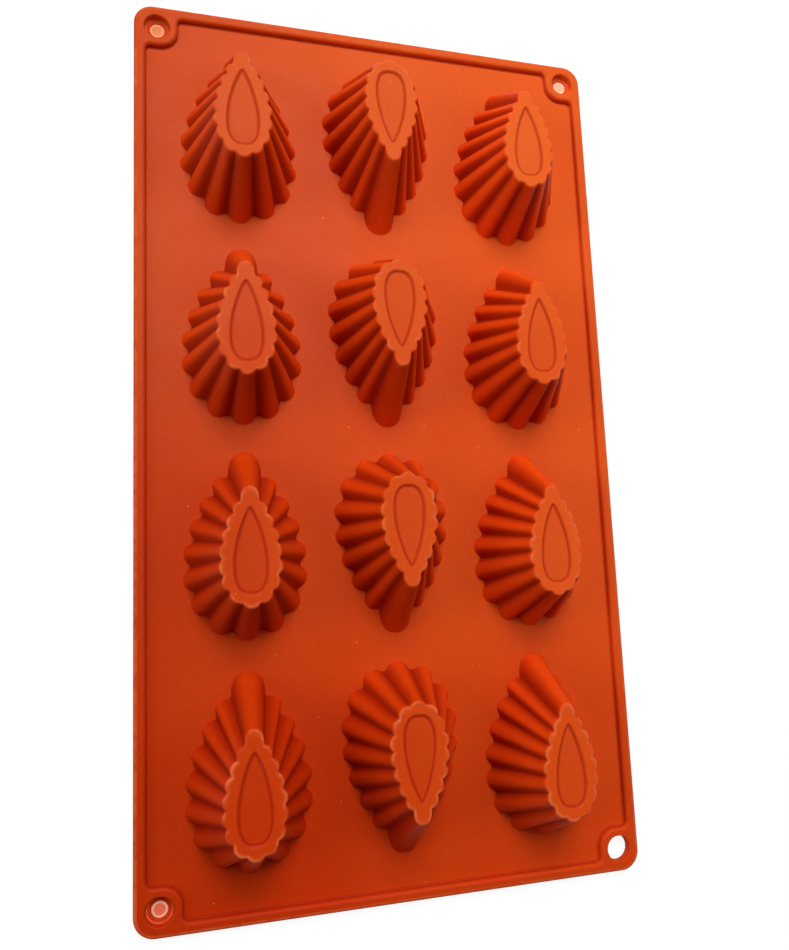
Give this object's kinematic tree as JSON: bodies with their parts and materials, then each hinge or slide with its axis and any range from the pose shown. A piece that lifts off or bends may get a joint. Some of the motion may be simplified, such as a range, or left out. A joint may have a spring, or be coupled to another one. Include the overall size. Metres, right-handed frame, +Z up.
{
  "type": "silicone cake mould",
  "caption": "Flexible flat tray with rows of fluted teardrop cups, a raised rim and a hanging hole in one corner, for baking or setting small flower cakes.",
  "frame": {"origin": "on the table under the middle of the tray, in the plane of the pouring face", "axes": "+Z up, out of the cups' crowns; +Y along the long side, towards the tips of the outer columns' teardrops; +X across, with the hanging hole at +X, -Y"},
  "size_m": [0.1664, 0.3, 0.025],
  "materials": {
    "tray_silicone": "satin terracotta silicone",
    "cup_silicone": "satin terracotta silicone",
    "floor_silicone": "satin terracotta silicone",
    "disc_silicone": "thin pale translucent silicone"
  },
  "bodies": {
    "tray": {"web_sheet": "tray_silicone", "rim_left": "tray_silicone", "rim_right": "tray_silicone", "rim_near": "tray_silicone", "rim_far": "tray_silicone", "corner_pad_near_left": "tray_silicone", "corner_pad_near_right": "tray_silicone", "corner_pad_far_right": "tray_silicone", "corner_pad_far_left": "tray_silicone", "hole_disc_near_left": "disc_silicone", "hole_disc_far_right": "disc_silicone", "hole_disc_far_left": "disc_silicone", "cup_shell_r1c1": "cup_silicone", "cup_shell_r1c2": "cup_silicone", "cup_shell_r1c3": "cup_silicone", "cup_shell_r2c1": "cup_silicone", "cup_shell_r2c2": "cup_silicone", "cup_shell_r2c3": "cup_silicone", "cup_shell_r3c1": "cup_silicone", "cup_shell_r3c2": "cup_silicone", "cup_shell_r3c3": "cup_silicone", "cup_shell_r4c1": "cup_silicone", "cup_shell_r4c2": "cup_silicone", "cup_shell_r4c3": "cup_silicone"},
    "floor_r1c1": {"cup_floor_r1c1": "floor_silicone"},
    "floor_r1c2": {"cup_floor_r1c2": "floor_silicone"},
    "floor_r1c3": {"cup_floor_r1c3": "floor_silicone"},
    "floor_r2c1": {"cup_floor_r2c1": "floor_silicone"},
    "floor_r2c2": {"cup_floor_r2c2": "floor_silicone"},
    "floor_r2c3": {"cup_floor_r2c3": "floor_silicone"},
    "floor_r3c1": {"cup_floor_r3c1": "floor_silicone"},
    "floor_r3c2": {"cup_floor_r3c2": "floor_silicone"},
    "floor_r3c3": {"cup_floor_r3c3": "floor_silicone"},
    "floor_r4c1": {"cup_floor_r4c1": "floor_silicone"},
    "floor_r4c2": {"cup_floor_r4c2": "floor_silicone"},
    "floor_r4c3": {"cup_floor_r4c3": "floor_silicone"}
  },
  "joints": [
    {"name": "press_r1c1", "type": "slide", "parent": "tray", "child": "floor_r1c1", "axis": [0, 0, -1], "range_m": [0, 0.01], "stiffness_N_per_m": 300},
    {"name": "press_r1c2", "type": "slide", "parent": "tray", "child": "floor_r1c2", "axis": [0, 0, -1], "range_m": [0, 0.01], "stiffness_N_per_m": 300},
    {"name": "press_r1c3", "type": "slide", "parent": "tray", "child": "floor_r1c3", "axis": [0, 0, -1], "range_m": [0, 0.01], "stiffness_N_per_m": 300},
    {"name": "press_r2c1", "type": "slide", "parent": "tray", "child": "floor_r2c1", "axis": [0, 0, -1], "range_m": [0, 0.01], "stiffness_N_per_m": 300},
    {"name": "press_r2c2", "type": "slide", "parent": "tray", "child": "floor_r2c2", "axis": [0, 0, -1], "range_m": [0, 0.01], "stiffness_N_per_m": 300},
    {"name": "press_r2c3", "type": "slide", "parent": "tray", "child": "floor_r2c3", "axis": [0, 0, -1], "range_m": [0, 0.01], "stiffness_N_per_m": 300},
    {"name": "press_r3c1", "type": "slide", "parent": "tray", "child": "floor_r3c1", "axis": [0, 0, -1], "range_m": [0, 0.01], "stiffness_N_per_m": 300},
    {"name": "press_r3c2", "type": "slide", "parent": "tray", "child": "floor_r3c2", "axis": [0, 0, -1], "range_m": [0, 0.01], "stiffness_N_per_m": 300},
    {"name": "press_r3c3", "type": "slide", "parent": "tray", "child": "floor_r3c3", "axis": [0, 0, -1], "range_m": [0, 0.01], "stiffness_N_per_m": 300},
    {"name": "press_r4c1", "type": "slide", "parent": "tray", "child": "floor_r4c1", "axis": [0, 0, -1], "range_m": [0, 0.01], "stiffness_N_per_m": 300},
    {"name": "press_r4c2", "type": "slide", "parent": "tray", "child": "floor_r4c2", "axis": [0, 0, -1], "range_m": [0, 0.01], "stiffness_N_per_m": 300},
    {"name": "press_r4c3", "type": "slide", "parent": "tray", "child": "floor_r4c3", "axis": [0, 0, -1], "range_m": [0, 0.01], "stiffness_N_per_m": 300}
  ]
}
